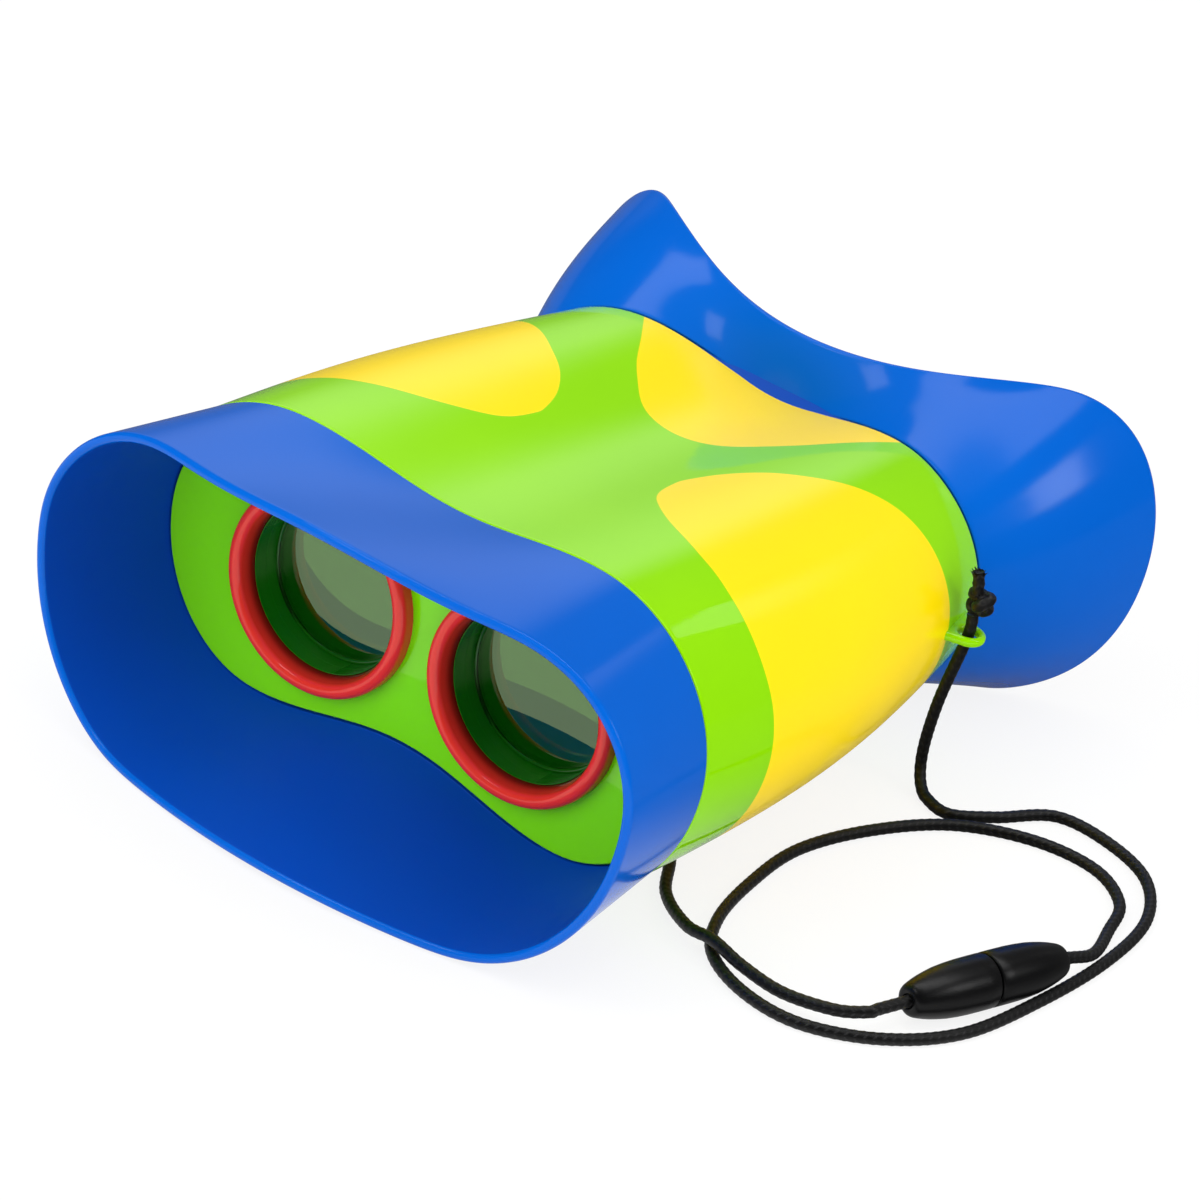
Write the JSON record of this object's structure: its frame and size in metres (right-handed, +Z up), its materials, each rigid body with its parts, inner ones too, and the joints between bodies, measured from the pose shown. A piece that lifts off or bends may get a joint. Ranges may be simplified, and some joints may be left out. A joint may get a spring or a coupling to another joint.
{
  "type": "toy binoculars",
  "caption": "Chunky toy binoculars with a flared front hood, ringed lenses, a two-tone body, a face-fitting eye hood and a neck cord with a breakaway clasp.",
  "frame": {"origin": "on the floor, below the middle of the two hoods' length and between the two lens axes", "axes": "+X to the right seen from the front, across the lenses; +Y from the front rim towards the eyes; +Z up from the floor that the hoods stand on"},
  "size_m": [0.1982, 0.194, 0.075],
  "materials": {
    "hood_blue": "glossy moulded blue",
    "shell_green": "glossy moulded lime green with yellow colour blocks",
    "ring_red": "glossy moulded red",
    "lens_clear": "clear, faintly green",
    "screw_steel": "plain cross-head screws",
    "cord_black": "braided cord",
    "clasp_black": "satin moulded black"
  },
  "bodies": {
    "binoculars": {"front_hood": "hood_blue", "front_panel": "shell_green", "body_shell": "shell_green", "rear_panel": "shell_green", "eye_hood": "hood_blue", "objective_ring_left": "ring_red", "objective_ring_right": "ring_red", "lens_retainer_left": "shell_green", "lens_retainer_right": "shell_green", "objective_lens_left": "lens_clear", "objective_lens_right": "lens_clear", "barrel_left": "shell_green", "barrel_right": "shell_green", "eyepiece_lens_left": "lens_clear", "eyepiece_lens_right": "lens_clear", "eyepiece_ring_left": "ring_red", "eyepiece_ring_right": "ring_red", "panel_screw_top": "screw_steel", "panel_screw_bottom": "screw_steel", "panel_screw_left": "screw_steel", "panel_screw_right": "screw_steel", "strap_cord_right": "cord_black", "strap_cord_left": "cord_black", "lug_knot_right": "cord_black", "lug_knot_left": "cord_black", "clasp_plug": "clasp_black"},
    "clasp_half": {"clasp_socket": "clasp_black"}
  },
  "joints": [
    {"name": "clasp_pull", "type": "slide", "parent": "binoculars", "child": "clasp_half", "axis": [-0.2924, -0.9563, 0], "range_m": [0, 0.0059]}
  ]
}
